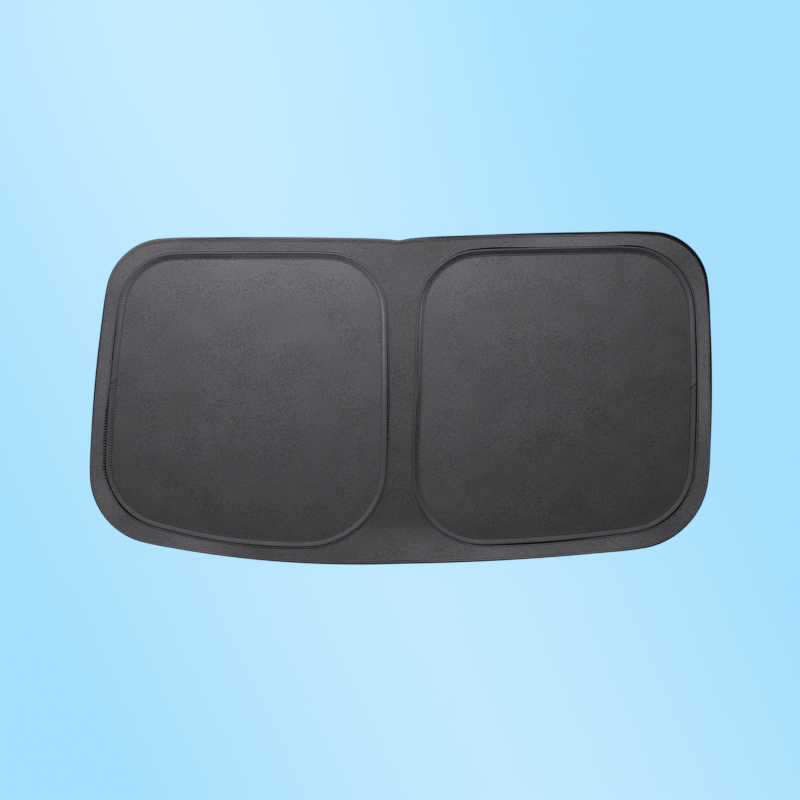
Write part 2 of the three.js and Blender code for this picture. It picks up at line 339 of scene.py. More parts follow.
class StageSettings(bpy.types.PropertyGroup):
    view_width: length_setting("View width", "Width of floor that the camera sees", 0.9025)
    lens: bpy.props.FloatProperty(
        name="Lens", description="Focal length in millimetres", default=120, unit="CAMERA"
    )
    floor_light: colour_setting(
        "Floor, light", "The floor's colour along its light band", (0.54, 0.83, 1.0)
    )
    floor_deep: colour_setting(
        "Floor, deep", "The floor's colour away from its light band", (0.385, 0.75, 1.0)
    )
    key_power: bpy.props.FloatProperty(
        name="Key light", description="Power of the main light in watts", default=5.1, unit="POWER"
    )
    fill: bpy.props.FloatProperty(
        name="Fill", description="Brightness of the even light from all round", default=0.06, min=0
    )


# Meshes

def deselect_all():
    bpy.ops.object.select_all(action="DESELECT")


def make_active(piece):
    deselect_all()
    piece.select_set(True)
    bpy.context.view_layer.objects.active = piece


def apply_modifiers(piece):
    make_active(piece)
    for modifier in list(piece.modifiers):
        bpy.ops.object.modifier_apply(modifier=modifier.name)


def new_piece(name, points, faces, material, slot):
    """A smooth-shaded mesh piece on the part's one body."""
    mesh = bpy.data.meshes.new(name)
    mesh.from_pydata(points, [], faces)
    mesh.materials.append(material)
    piece = bpy.data.objects.new(name, mesh)
    bpy.context.scene.collection.objects.link(piece)
    make_active(piece)
    bpy.ops.object.shade_smooth()
    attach(piece, BODY)
    return piece


def add_point_values(piece, name, values):
    """Keeps one number for each point of a piece, for its material."""
    attribute = piece.data.attributes.new(name, "FLOAT", "POINT")
    attribute.data.foreach_set("value", np.asarray(values, dtype=np.float32).ravel())


def lattice_faces(rows, columns):
    """The four-sided faces of a grid of points that closes on itself both ways."""
    row, column = np.meshgrid(np.arange(rows), np.arange(columns), indexing="ij")
    next_row, next_column = (row + 1) % rows, (column + 1) % columns
    corners = [
        row * columns + column, row * columns + next_column,
        next_row * columns + next_column, next_row * columns + column,
    ]
    return np.stack(corners, -1).reshape(-1, 4)


def add_tape_uv(piece, distances, length, girth):
    """A UV map in metres: u along the tape and v round its section. Both run on past the closing faces."""
    rows, columns = len(distances), len(girth) - 1
    ends = np.append(distances, length)
    row, column = np.meshgrid(np.arange(rows), np.arange(columns), indexing="ij")
    u = np.stack([ends[row], ends[row], ends[row + 1], ends[row + 1]], -1)
    v = np.stack([girth[column], girth[column + 1], girth[column + 1], girth[column]], -1)
    layer = piece.data.uv_layers.new(name="tape")
    layer.data.foreach_set("uv", np.stack([u, v], -1).astype(np.float32).ravel())


def swept_tape(name, rail, distances, out, height, material, slot):
    """A closed band whose section at each distance is a row of out and height values, clockwise seen along
    the rail with outwards to the right."""
    rows, columns = out.shape
    plan = rail.place(np.repeat(distances[:, None], columns, 1), out)
    points = np.concatenate([plan, height[..., None]], -1).reshape(-1, 3)
    piece = new_piece(name, points, lattice_faces(rows, columns), material, slot)
    section = np.stack([out[0], height[0]], 1)
    sides = np.linalg.norm(np.roll(section, -1, 0) - section, axis=1)
    add_tape_uv(piece, distances, rail.length, np.concatenate([[0], np.cumsum(sides)]))
    return piece


def arc_points(radius, centre_height, first, last, count):
    """Points of a round wall, from one angle to another in degrees, as out and height."""
    angles = np.radians(np.linspace(first, last, count))
    return np.stack([radius * np.cos(angles), centre_height + radius * np.sin(angles)], 1)


# Cloth

def cloth_rise(points):
    """How far the cloth stands above its level, at each point seen from above."""
    cloth = bpy.context.scene.sunshade_cloth
    rise = np.zeros(len(points))
    lip = np.ones(len(points))
    width = np.full(len(points), np.inf)
    near_seam = np.full(len(points), np.inf)
    for seed, lobe in enumerate(LOBES):
        hoop = hoops[lobe]
        out, distance = hoop.locate(points)
        inwards = -out - panel_reach()
        depth = np.clip(inwards / (130 * MM), 0, 1)
        rise += cloth.crown * depth * (2 - depth)
        beyond = out - lip_start(lobe, distance)
        lip = np.minimum(lip, eased(beyond / cloth.lip_width))
        width = np.minimum(width, np.clip(beyond, 0, None))
        beside = np.where(out < 0, inwards, beyond - cloth.lip_width)
        waves = hoop.drift(distance, 7 * MM, 18 * MM, 20 + seed)
        rise += cloth.pucker * waves * np.exp(-np.clip(beside, 0, None) / (7 * MM)) * (beside > 0)
        near_seam = np.minimum(near_seam, np.abs(beside))
    rise += cloth.lip * lip
    inset, distance = edge.locate(points)
    inset = np.clip(-inset, 0, None)
    edge_rise = edge.strength(distance, EDGE_RISE, EDGE_RISES)
    edge_rise = edge_rise + 0.35 * edge.drift(distance, 70 * MM, 400 * MM, 31)
    rise += edge_rise * MM * (width / (width + inset + 1e-9)) ** 1.2
    rise += cloth.pucker * edge.drift(distance, 6 * MM, 16 * MM, 32) * np.exp(-inset / (8 * MM))
    slow = wander(points, 95 * MM, 33) + 0.45 * wander(points, 38 * MM, 34)
    return rise + cloth.slack * slow * eased(near_seam / (14 * MM))


def panel_reach():
    """From a hoop's line in to the casing tape's inner edge."""
    casing = bpy.context.scene.sunshade_casing
    rise = TUNNEL + CROWN * math.cos(casing.slope) - TAPE
    return CROWN * math.sin(casing.slope) + rise / math.tan(casing.slope) + casing.inner_foot


def cloth_points(spacing):
    """Points all over the cloth: the outline first, then rows beside each seam, then an even spread."""
    outline = edge.place(np.arange(0, edge.length, spacing * 0.8), -FOLD)
    rows = [outline]
    cloth = bpy.context.scene.sunshade_cloth
    for lobe, hoop in hoops.items():
        distances = np.linspace(0, hoop.length, round(hoop.length / (2 * MM)), endpoint=False)
        inner = panel_reach()
        for reach in (-inner - 1.7 * MM, -inner - 0.2 * MM, -inner + 1.5 * MM, 0):
            rows.append(hoop.place(distances, np.full(len(distances), reach)))
        start = lip_start(lobe, distances)
        for share in (0, 0.35, 0.7, 1.05, 2.2, 3.8):
            rows.append(hoop.place(distances, start + share * cloth.lip_width))
    x = np.arange(sheet_low.x, sheet_high.x, spacing)
    y = np.arange(sheet_low.y, sheet_high.y, spacing * math.sqrt(0.75))
    spread = np.stack(np.meshgrid(x, y), -1)
    spread[1::2, :, 0] += spacing / 2
    spread = spread.reshape(-1, 2)
    free = -edge.locate(spread)[0] > FOLD + 0.7 * spacing
    for hoop in hoops.values():
        out = hoop.locate(spread)[0]
        free &= (out < -panel_reach() - 3.2 * MM) | (out > CROWN + 7.6 * MM)
    return np.concatenate(rows + [spread[free]]), len(outline)


class SUNSHADE_OT_cloth(bpy.types.Operator):
    """Make the one cloth of both lobes"""

    bl_idname = "sunshade.cloth"
    bl_label = "Cloth"

    def execute(self, context):
        points, border = cloth_points(context.scene.sunshade_cloth.spacing)
        flat = [Vector(point) for point in points]
        plan, _, faces, *_ = delaunay_2d_cdt(flat, [], [list(range(border))], 1, 1e-7, False)
        plan = np.array([tuple(point) for point in plan])
        faces = np.array(faces)
        within = edge.locate(plan[faces].mean(1))[0] < -FOLD
        faces = faces[within].tolist()
        height = CLOTH_TOP + cloth_rise(plan)
        piece = new_piece(
            "sunshade_cloth", np.column_stack([plan, height]), faces, cloth_material(), "cloth"
        )
        add_point_values(piece, "painted_light", painted_cloth_light(plan))
        solid = piece.modifiers.new("thickness", "SOLIDIFY")
        solid.thickness = CLOTH
        solid.offset = -1
        apply_modifiers(piece)
        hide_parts("base_sheet")
        return {"FINISHED"}


def painted_cloth_light(plan):
    """How light the cloth is painted at each point, standing in for light and shade: 1 on the lobes' panels,
    darker between them, and lighter or darker by place beside the edge."""
    width = np.full(len(plan), np.inf)
    panel = np.zeros(len(plan))
    for hoop in hoops.values():
        out = hoop.locate(plan)[0]
        panel = np.maximum(panel, eased(-out / (4 * MM)))
        width = np.minimum(width, np.clip(out, 0, None))
    inset, distance = edge.locate(plan)
    inset = np.clip(-inset, 0, None)
    flange = edge.strength(distance, FLANGE_PAINTED_LIGHT_BASE, FLANGE_PAINTED_LIGHT)
    nearness = eased(1.4 - inset / (40 * MM))
    outside = BAND_PAINTED_SHADE + (flange - BAND_PAINTED_SHADE) * nearness
    return outside + (1 - outside) * panel


# Casings

LAPS = {"left": (-325.8, 16.7), "right": (331.4, 14.5)}
LAP_LENGTH = 12 * MM
LAP_SLANT = math.tan(math.radians(43))
LAP_JOG = 0.55 * MM


def casing_section():
    """The tape's section from its inner edge over the crown to the foot of its outer wall, and its underside
    back from there, clockwise, as rows of out and height above the cloth."""
    casing = bpy.context.scene.sunshade_casing
    inner = -panel_reach()
    foot = inner + casing.inner_foot
    inner_side = np.array([
        [inner, 0.3 * TAPE], [inner + 0.03 * MM, 0.75 * TAPE], [inner + 0.14 * MM, 0.97 * TAPE],
        [inner + 0.4 * MM, TAPE], [inner + 0.7 * MM, TAPE], [inner + 1.0 * MM, TAPE],
    ])
    rounding = casing.crown_round
    crown = arc_points(rounding, TUNNEL + CROWN - rounding, 105, 0, 7) + [CROWN - rounding, 0]
    start = np.array([foot + casing.flat, TAPE + 0.06 * MM])
    leave = start + 1.4 * MM * np.array([math.cos(casing.slope), math.sin(casing.slope)])
    lean = math.radians(20)
    arrive = crown[0] - 1.7 * MM * np.array([math.cos(lean), math.sin(lean)])
    t = np.linspace(0, 1, 9, endpoint=False)[:, None]
    slope = (1 - t)**3 * start + 3 * t * (1 - t)**2 * leave + 3 * t * t * (1 - t) * arrive + t**3 * crown[0]
    wall = np.array([[CROWN, share * (TUNNEL + CROWN - rounding)] for share in (0.75, 0.4)])
    top = np.concatenate([inner_side, slope, crown, wall])
    over = np.concatenate([slope[1:], crown])
    inside = (over + TAPE * outward_sides(over))[1:-1:2][::-1]
    under = np.concatenate([
        [[CROWN - TAPE, 0]], inside, [[foot - 0.1 * MM, 0], [inner + 0.7 * MM, 0], [inner + 0.1 * MM, 0]],
    ])
    return top, under


FOOT_SHARES = np.array([-0.6, 0, 0.12, 0.26, 0.4, 0.55, 0.72, 0.9, 1.1, 1.35, 1.6, 1.75])
FOOT_THICKNESS = np.array([1, 1, 1, 1, 1, 1, 1, 0.95, 0.8, 0.55, 0.3, 0.05])
# How high the foot stands where its seam is closed, and where a stitch draws an open one together.
CLOSED_LIFT = 2.3 * MM
DRAWN_LIFT = 1.6 * MM


def outer_foot(lobe, distances):
    """The tape's foot beyond its outer wall, which lies on the flange's rise: out and height of its top and
    of its underside, a row for each distance."""
    cloth = bpy.context.scene.sunshade_cloth
    hoop = hoops[lobe]
    start = lip_start(lobe, distances)[:, None]
    out = start + FOOT_SHARES * cloth.lip_width
    out = np.maximum(out, CROWN + np.arange(len(FOOT_SHARES)) * 0.02 * MM)
    phase = stitch_phase(lobe, distances)[:, None]
    drawn = hoop.strength(distances, 0, DOTTED[lobe])[:, None] * (0.5 + 0.5 * np.cos(phase))
    shift = 0.95 * (start - CROWN) * drawn * np.clip(1.6 - FOOT_SHARES, 0, 1)
    grid = np.repeat(distances[:, None], out.shape[1], 1)
    ground = cloth_rise(hoop.place(grid, out + shift).reshape(-1, 2)).reshape(out.shape)
    closed = np.clip(1 - 2 * crevice(lobe, distances), 0, 1)[:, None]
    ground = ground + CLOSED_LIFT * closed * bell(FOOT_SHARES - 0.1, 0.5)
    ground = ground + DRAWN_LIFT * drawn * (1 - closed) * bell(FOOT_SHARES - 0.4, 0.5)
    slope = np.gradient(ground, axis=1) / np.gradient(out, axis=1)
    length = np.sqrt(1 + slope * slope)
    top = out - TAPE * FOOT_THICKNESS * slope / length
    top = np.maximum(top, CROWN + np.arange(len(FOOT_SHARES)) * 0.015 * MM)
    return top, ground + TAPE * FOOT_THICKNESS / length, out, ground - 0.02 * MM


def stitch_phase(lobe, distance):
    """Runs through a full turn from one stitch of the casing to the next, in radians."""
    length = hoops[lobe].length
    count = round(length / bpy.context.scene.sunshade_casing.stitch_pitch)
    return 2 * math.pi * count * distance / length


def lap_middle(lobe):
    x, y = LAPS[lobe]
    return hoops[lobe].distance_at((x * MM, y * MM))


def lap_lift(lobe, distance, out):
    """1 where the tape's end lies over its start, with both ends slanting, else 0, and the distance along
    from the lap's middle."""
    hoop = hoops[lobe]
    along = hoop.wrapped(distance - lap_middle(lobe) - LAP_SLANT * out)
    return eased((LAP_LENGTH / 2 - np.abs(along)) / (0.5 * MM) + 0.5), along


def casing_surface(lobe, distance, out, height):
    """Draws a casing's section points up into ridges, down at the stitches and creases, and up over its
    lap."""
    casing = bpy.context.scene.sunshade_casing
    hoop = hoops[lobe]
    strength = hoop.strength(distance, PUCKER, PUCKERS[lobe])
    strength = strength * (1 + 0.5 * hoop.drift(distance, 12 * MM, 60 * MM, 41))
    phase = stitch_phase(lobe, distance)
    turned = stitch_phase(lobe, distance + 0.35 * (out + panel_reach()))
    on_top = eased((height - 0.8 * TAPE) / (0.2 * TAPE)) * (out < CROWN - 0.01 * MM)
    slope_side = bell(out + 3.2 * MM, 2.4 * MM)
    change = casing.pucker * strength * np.cos(turned) * on_top * slope_side
    row = stitch_rows()[0]
    at_stitch = (0.5 + 0.5 * np.cos(phase)) ** 4
    change -= 0.2 * MM * at_stitch * bell(out - row, 0.4 * MM) * on_top
    crease = hoop.strength(distance, 0, CREASES[lobe])
    change -= casing.crease * crease * bell(out + 0.7 * MM, 0.42 * MM) * on_top
    lapped, along = lap_lift(lobe, distance, out)
    change -= 0.5 * MM * bell(along, 0.8 * MM) * on_top
    jog = LAP_JOG * np.tanh(along / (5 * MM)) * bell(along, 60 * MM) * (lobe == "left")
    return out + jog * eased((out - 1.2 * MM) / MM), height + change + TAPE * lapped * on_top


WIRE_CLEARANCE = 0.22 * MM
FERRULE_REACH = 20 * MM


def wire_room(lobe, distance):
    """How near to the wire's middle the casing may come: just clear of the wire, and of the ferrule on it."""
    low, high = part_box(f"{lobe}_wire_ferrule")
    middle = (low + high) / 2
    nearness = hoops[lobe].nearness(distance, (middle.x, middle.y), FERRULE_REACH)
    return WIRE + WIRE_CLEARANCE + ((high.z - low.z) / 2 - WIRE) * eased(2 * nearness)


def stitch_rows():
    """How far out from a hoop's line the casing's inner row of stitches lies, and its outer row at its
    nearest."""
    casing = bpy.context.scene.sunshade_casing
    return -panel_reach() + 0.5 * casing.inner_foot, CROWN + 0.25 * MM


class SUNSHADE_OT_casings(bpy.types.Operator):
    """Make the tape casing round each hoop"""

    bl_idname = "sunshade.casings"
    bl_label = "Casings"

    def execute(self, context):
        material = casing_material()
        top, under = casing_section()
        for lobe, hoop in hoops.items():
            distances = np.linspace(0, hoop.length, round(hoop.length / (0.7 * MM)), endpoint=False)
            rows = len(distances)
            foot_top, foot_high, foot_under, foot_low = outer_foot(lobe, distances)
            out = [np.repeat(top[None, :, 0], rows, 0), foot_top, foot_under[:, ::-1]]
            height = [np.repeat(top[None, :, 1], rows, 0), foot_high, foot_low[:, ::-1]]
            out = np.concatenate(out + [np.repeat(under[None, :, 0], rows, 0)], 1)
            height = np.concatenate(height + [np.repeat(under[None, :, 1], rows, 0)], 1)
            grid = np.repeat(distances[:, None], out.shape[1], 1)
            out, height = casing_surface(lobe, grid, out, height)
            column = np.arange(out.shape[1])
            is_top = column < len(top)
            least = wire_room(lobe, grid) + 0.9 * TAPE * is_top
            push = np.maximum(1, least / np.hypot(out, height - TUNNEL))
            out, height = out * push, TUNNEL + (height - TUNNEL) * push
            piece = swept_tape(
                f"{lobe}_casing_tape", hoop, distances, out, CLOTH_TOP + height, material, "casing_tape"
            )
            # Painted shade, near black, in the open seam beside the outer wall and along the crown's crease.
            in_seam = ((column >= len(top) - 1) & (column <= len(top) + 4)).astype(float)
            crease = hoop.strength(grid, 0, CREASES[lobe]) * bell(out + 0.7 * MM, 0.4 * MM)
            at_stitch = 0.5 + 0.5 * np.cos(stitch_phase(lobe, grid))
            closed = hoop.strength(grid, 0, DOTTED[lobe]) * eased(1.5 * at_stitch - 0.2)
            dark = in_seam * np.clip(1.5 * crevice(lobe, grid), 0, 1) * (1 - closed)
            dark = dark + 0.75 * crease * is_top
            # Painted shade at the stitch holes, at the ticks where the stitches pucker the slope, and at the
            # lap's stitches.
            painted_stitch_shade = bell(out - stitch_rows()[0], 0.5 * MM) * at_stitch**3
            puckered = hoop.strength(grid, 0, PUCKERS[lobe])
            painted_stitch_shade = painted_stitch_shade * (0.35 + 0.65 * puckered)
            painted_stitch_shade = painted_stitch_shade + 0.6 * puckered * at_stitch**2 * bell(out + 2.9 * MM, 2.1 * MM)
            along = lap_lift(lobe, grid, out)[1]
            painted_stitch_shade = painted_stitch_shade + bell(along, 1.1 * MM) * (0.6 + 0.6 * np.cos(out / (0.4 * MM)))
            dark = dark + 0.9 * painted_stitch_shade * is_top
            add_point_values(piece, "seam", np.clip(dark, 0, 1))
            # Painted light on the casing's shaded slope, with the flange's painted light and shade carried
            # onto the outer foot.
            on_slope = eased((-out - 0.6 * MM) / MM) * eased((height - TAPE) / (0.8 * MM)) * is_top
            painted_light = 1 + (hoop.strength(grid, 1, CASING_PAINTED_LIGHT[lobe]) - 1) * on_slope
            beside = painted_cloth_light(hoop.place(grid, out).reshape(-1, 2)).reshape(out.shape)
            in_foot = (column >= len(top)) & (column < len(top) + len(FOOT_SHARES))
            add_point_values(piece, "painted_light", np.where(in_foot, beside, painted_light))
            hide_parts(f"{lobe}_wire_casing")
        return {"FINISHED"}


# Binding

# Painted light on the hem, as a share of the flange's painted light.
HEM_PAINTED_LIGHT = 1.12
# The hem's crease is a dent, with a painted dark line along it, by place.
HEM_CREASE_DEPTH = 0.35 * MM
HEM_CREASE = 0.1
HEM_CREASES = ((85, 183, 60, 1), (-228, 183, 24, 1.3), (-10, -180, 45, 0.8), (345, 60, 160, 0.5))
# How far in from its fold the binding is blackened, in millimetres, by place.
DARK_EDGE = 0.3
DARK_EDGES = (
    (318, 170, 150, 4.8), (200, 187, 170, 2.4), (60, 186, 80, 1.5), (350, 40, 150, 2.4),
    (-345, 40, 190, 1.8), (-200, 187, 40, 1.6), (-345, -110, 120, 1.2), (0, -185, 370, 1.5),
    (300, -150, 150, 1.5),
)


def binding_section():
    """The folded tape's section, clockwise from its top leg's edge, as out and height, and whether each
    point is on its outside."""
    width = bpy.context.scene.sunshade_binding.width
    top = binding_high.z
    fold = top / 2
    legs = np.array([0, 0.03, 0.12, 0.4, 0.75, 1.05, 1.26, 1.5, 1.9, 2.5, 3.2, 3.75]) * MM
    lower = np.array([0.45, 0.8, 0.97, 1, 1, 1, 1, 1, 1, 1, 1, 1]) * TAPE
    outside = np.stack([-width + legs, top - TAPE + lower], 1)
    bend = arc_points(fold, fold, 90, -90, 9) + [-fold, 0]
    under = np.stack([-width + legs, TAPE - lower], 1)[::-1]
    hollow = arc_points(fold - TAPE, fold, -90, 90, 5) + [-fold, 0]
    inside = np.concatenate([
        [[-width + 0.03 * MM, TAPE], [-width / 2, TAPE]], hollow,
        [[-width / 2, top - TAPE], [-width + 0.03 * MM, top - TAPE]],
    ])
    section = np.concatenate([outside, bend, under, inside])
    shown = np.arange(len(section)) < len(outside) + len(bend)
    return section, shown


def binding_row():
    """How far out from the edge the binding's row of stitches lies."""
    return -0.72 * bpy.context.scene.sunshade_binding.width


class SUNSHADE_OT_binding(bpy.types.Operator):
    """Make the tape folded over the cloth's edge"""

    bl_idname = "sunshade.binding"
    bl_label = "Binding"

    def execute(self, context):
        binding = context.scene.sunshade_binding
        section, shown = binding_section()
        distances = np.linspace(0, edge.length, round(edge.length / (1.02 * MM)), endpoint=False)
        grid = np.repeat(distances[:, None], len(section), 1)
        out = np.repeat(section[None, :, 0], len(distances), 0)
        height = np.repeat(section[None, :, 1], len(distances), 0)
        plan = edge.place(grid, np.minimum(out, -FOLD)).reshape(-1, 2)
        height = height + cloth_rise(plan).reshape(out.shape)
        count = round(edge.length / binding.stitch_pitch)
        phase = 2 * math.pi * count * grid / edge.length
        level = section[None, :, 1] - binding_high.z / 2
        side = np.sign(level) * eased(np.abs(level) / (0.4 * MM))
        roll = np.clip(out / binding_row(), 0, 1)
        height = height + binding.roll * np.sin(math.pi * roll) * (level > 0.3 * MM)
        crease = edge.strength(grid, HEM_CREASE, HEM_CREASES) * bell(out - binding_row(), 0.4 * MM)
        height = height - HEM_CREASE_DEPTH * crease * (level > 0.3 * MM)
        row = bell(out - binding_row(), 0.9 * MM)
        height = height - binding.pucker * side * row * (1 + np.cos(phase))
        height = height + 0.6 * binding.pucker * side * edge.drift(grid, 5 * MM, 14 * MM, 51) * (1 - row)
        out = out + 0.12 * MM * edge.drift(grid, 8 * MM, 40 * MM, 52) * (out < -binding.width + 0.5 * MM)
        piece = swept_tape(
            "edge_binding_tape", edge, distances, out, height, binding_material(), "binding_tape"
        )
        # The fold is blackened by place. At the stitch holes and along the hem's crease, the dark is painted
        # shade.
        dark = edge.strength(distances, DARK_EDGE, DARK_EDGES) * MM
        from_fold = np.where(shown, -section[:, 0], 0)[None]
        dark = eased((dark[:, None] - from_fold) / (0.9 * MM) + 0.5)
        painted_stitch_shade = (0.5 + 0.5 * np.cos(phase)) ** 6 * bell(out - binding_row(), 0.6 * MM)
        dark = dark + 0.5 * painted_stitch_shade * (level > 0)
        add_point_values(piece, "dark", np.clip(dark + 0.7 * crease * (level > 0), 0, 1))
        add_point_values(piece, "painted_light", HEM_PAINTED_LIGHT * edge.strength(grid, FLANGE_PAINTED_LIGHT_BASE, FLANGE_PAINTED_LIGHT))
        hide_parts("edge_binding")
        return {"FINISHED"}


# Stitches

def model_stitch(length, diameter):
    """One stitch on its own, along +X: a grain of thread whose ends dip into the cloth. Gives its points
    and faces, and removes the object."""
    deselect_all()
    bpy.ops.mesh.primitive_uv_sphere_add(
        segments=6, ring_count=6, radius=0.5, location=(0, 0, 0), rotation=(0, math.pi / 2, 0)
    )
    grain = bpy.context.object
    bpy.ops.object.transform_apply(location=True, rotation=True, scale=True)
    bpy.ops.object.mode_set(mode="EDIT")
    bpy.ops.mesh.select_all(action="SELECT")
    bpy.ops.transform.resize(value=(length, diameter, diameter))
    bpy.ops.mesh.select_all(action="DESELECT")
    bpy.ops.object.mode_set(mode="OBJECT")
    for vertex in grain.data.vertices:
        vertex.select = bool(abs(vertex.co.x) > 0.4 * length)
    bpy.ops.object.mode_set(mode="EDIT")
    bpy.ops.transform.translate(value=(0, 0, -0.45 * diameter))
    bpy.ops.object.mode_set(mode="OBJECT")
    points = np.array([tuple(vertex.co) for vertex in grain.data.vertices])
    faces = [tuple(face.vertices) for face in grain.data.polygons]
    bpy.data.objects.remove(grain)
    return points, faces


def stitch_row(rail, reach, heights, pitch, upwards):
    """Copies of the stitch along a row. reach gives how far out the row runs from the rail, and heights the
    cloth's height under each stitch's middle."""
    thread = bpy.context.scene.sunshade_thread
    count = round(rail.length / pitch)
    pitch = rail.length / count
    grain, faces = model_stitch(pitch - thread.gap, thread.diameter)
    middles = (np.arange(count) + 0.5) * pitch
    along = middles[:, None] + grain[None, :, 0]
    plan = rail.place(along, reach(along) + grain[None, :, 1])
    height = heights(middles)[:, None] + upwards * (grain[None, :, 2] + 0.12 * thread.diameter)
    points = np.concatenate([plan, height[..., None]], -1).reshape(-1, 3)
    copies = [
        tuple(k * len(grain) + corner for corner in (face if upwards > 0 else face[::-1]))
        for k in range(count) for face in faces
    ]
    return points, copies


def join_rows(rows):
    """One mesh's points and faces from several rows of stitches."""
    points, faces = [], []
    first = 0
    for row_points, row_faces in rows:
        points.append(row_points)
        faces += [tuple(first + corner for corner in face) for face in row_faces]
        first += len(row_points)
    return np.concatenate(points), faces


def slanting_seam(lobe):
    """The stitches that hold the casing tape's lapped end down."""
    thread = bpy.context.scene.sunshade_thread
    hoop = hoops[lobe]
    middle = lap_middle(lobe)
    top, _ = casing_section()
    grain, faces = model_stitch(1.7 * MM, thread.diameter)
    rows = []
    for share in np.linspace(0.06, 0.94, 5):
        out = -panel_reach() + share * (panel_reach() + CROWN - 0.3 * MM)
        distance = middle + LAP_SLANT * out
        turned = math.atan(1 / LAP_SLANT)
        along = grain[:, 0] * math.cos(turned) + grain[:, 1] * math.sin(turned)
        across = out + grain[:, 0] * math.sin(turned) - grain[:, 1] * math.cos(turned)
        plan = hoop.place(distance + along, across)
        ground = np.interp(across, top[:, 0], top[:, 1])
        height = CLOTH_TOP + TAPE + ground + grain[:, 2]
        rows.append((np.column_stack([plan, height]), faces))
    return rows


class SUNSHADE_OT_stitches(bpy.types.Operator):
    """Sew the casings and the binding"""

    bl_idname = "sunshade.stitches"
    bl_label = "Stitches"

    def execute(self, context):
        material = thread_material()
        casing = context.scene.sunshade_casing
        binding = context.scene.sunshade_binding
        for lobe, hoop in hoops.items():
            inner, nearest = stitch_rows()
            reaches = (
                lambda at: np.full(at.shape, inner),
                lambda at: nearest + 0.5 * (lip_start(lobe, at) - CROWN - 0.1 * MM),
            )
            rows = []
            for reach in reaches:
                lapped = lambda at: CLOTH_TOP + TAPE * (1 + lap_lift(lobe, at, reach(at))[0])
                rows.append(stitch_row(hoop, reach, lapped, casing.stitch_pitch, 1))
                flat = lambda at: np.full(len(at), CLOTH_BOTTOM)
                rows.append(stitch_row(hoop, reach, flat, casing.stitch_pitch, -1))
            rows += slanting_seam(lobe)
            new_piece(f"{lobe}_casing_stitches", *join_rows(rows), material, "thread")
        reach = lambda at: np.full(at.shape, binding_row())
        rise = lambda at: cloth_rise(edge.place(at, reach(at)))
        rows = [
            stitch_row(edge, reach, lambda at: binding_high.z + rise(at), binding.stitch_pitch, 1),
            stitch_row(edge, reach, lambda at: binding_low.z + 0.1 * MM + rise(at), binding.stitch_pitch, -1),
        ]
        new_piece("edge_stitches", *join_rows(rows), material, "thread")
        return {"FINISHED"}


# Materials

def new_material(name, roughness, sheen=0.0, metallic=0.0):
    """A material with a Principled shader. Gives the material, its nodes and the shader."""
    material = bpy.data.materials.new(name)
    material.use_nodes = True
    shader = material.node_tree.nodes["Principled BSDF"]
    shader.inputs["Roughness"].default_value = roughness
    shader.inputs["Metallic"].default_value = metallic
    shader.inputs["Sheen Weight"].default_value = sheen
    shader.inputs["Sheen Roughness"].default_value = 0.45
    if sheen:
        shader.inputs["Specular IOR Level"].default_value = 0.2
    return material, material.node_tree, shader


def math_node(tree, operation, first, second=None):
    """A Math node of two numbers or sockets. Gives its output."""
    node = tree.nodes.new("ShaderNodeMath")
    node.operation = operation
    for socket, value in zip(node.inputs, (first, second)):
        if isinstance(value, bpy.types.NodeSocket):
            tree.links.new(value, socket)
        elif value is not None:
            socket.default_value = value
    return node.outputs[0]


def mixed_colour(tree, share, first, second):
    """A colour between two, by a share from 0 to 1."""
    node = tree.nodes.new("ShaderNodeMix")
    node.data_type = "RGBA"
    tree.links.new(share, node.inputs["Factor"])
    for socket, value in ((node.inputs["A"], first), (node.inputs["B"], second)):
        if isinstance(value, bpy.types.NodeSocket):
            tree.links.new(value, socket)
        else:
            socket.default_value = (*value, 1)
    return node.outputs["Result"]


def noise_value(tree, vector, scale, detail):
    """A noise texture's value from 0 to 1."""
    noise = tree.nodes.new("ShaderNodeTexNoise")
    noise.inputs["Scale"].default_value = scale
    noise.inputs["Detail"].default_value = detail
    tree.links.new(vector, noise.inputs["Vector"])
    return noise.outputs["Fac"]


def new_group(name, inputs, outputs):
    """A group of shader nodes with its sockets. Gives the group and the nodes for its input and output."""
    group = bpy.data.node_groups.new(name, "ShaderNodeTree")
    for way, sockets in (("INPUT", inputs), ("OUTPUT", outputs)):
        for socket in sockets:
            kind = "Vector" if socket == "Vector" else "Float"
            group.interface.new_socket(socket, in_out=way, socket_type=f"NodeSocket{kind}")
    return group, group.nodes.new("NodeGroupInput"), group.nodes.new("NodeGroupOutput")


def weave_group():
    """Threads over and under each other, on X and Y in metres. Built once."""
    name = "woven threads"
    if name in bpy.data.node_groups:
        return bpy.data.node_groups[name]
    group, inside, outside = new_group(name, ("Vector", "Across", "Along"), ("Height", "Fibre"))
    split = group.nodes.new("ShaderNodeSeparateXYZ")
    group.links.new(inside.outputs["Vector"], split.inputs[0])
    waves = []
    for axis, pitch in (("X", "Across"), ("Y", "Along")):
        turns = math_node(group, "DIVIDE", split.outputs[axis], inside.outputs[pitch])
        waves.append(math_node(group, "SINE", math_node(group, "MULTIPLY", turns, math.pi)))
    crossing = math_node(group, "MULTIPLY", *waves)
    warp = math_node(group, "ADD", math_node(group, "ABSOLUTE", waves[0]), crossing)
    weft = math_node(group, "SUBTRACT", math_node(group, "ABSOLUTE", waves[1]), crossing)
    top = math_node(group, "MAXIMUM", warp, weft)
    group.links.new(math_node(group, "MULTIPLY", top, 0.5), outside.inputs["Height"])
    group.links.new(noise_value(group, inside.outputs["Vector"], 2600, 2), outside.inputs["Fibre"])
    return group


def mottle_group():
    """Slow and quick changes of shade over a cloth, from about 0 to 1. Built once."""
    name = "cloth mottle"
    if name in bpy.data.node_groups:
        return bpy.data.node_groups[name]
    group, inside, outside = new_group(name, ("Vector",), ("Slow", "Quick"))
    for output, scale, detail in (("Slow", 22, 3), ("Quick", 720, 1)):
        group.links.new(noise_value(group, inside.outputs["Vector"], scale, detail), outside.inputs[output])
    return group


def scaled(colour, share):
    return tuple(share * part for part in colour)


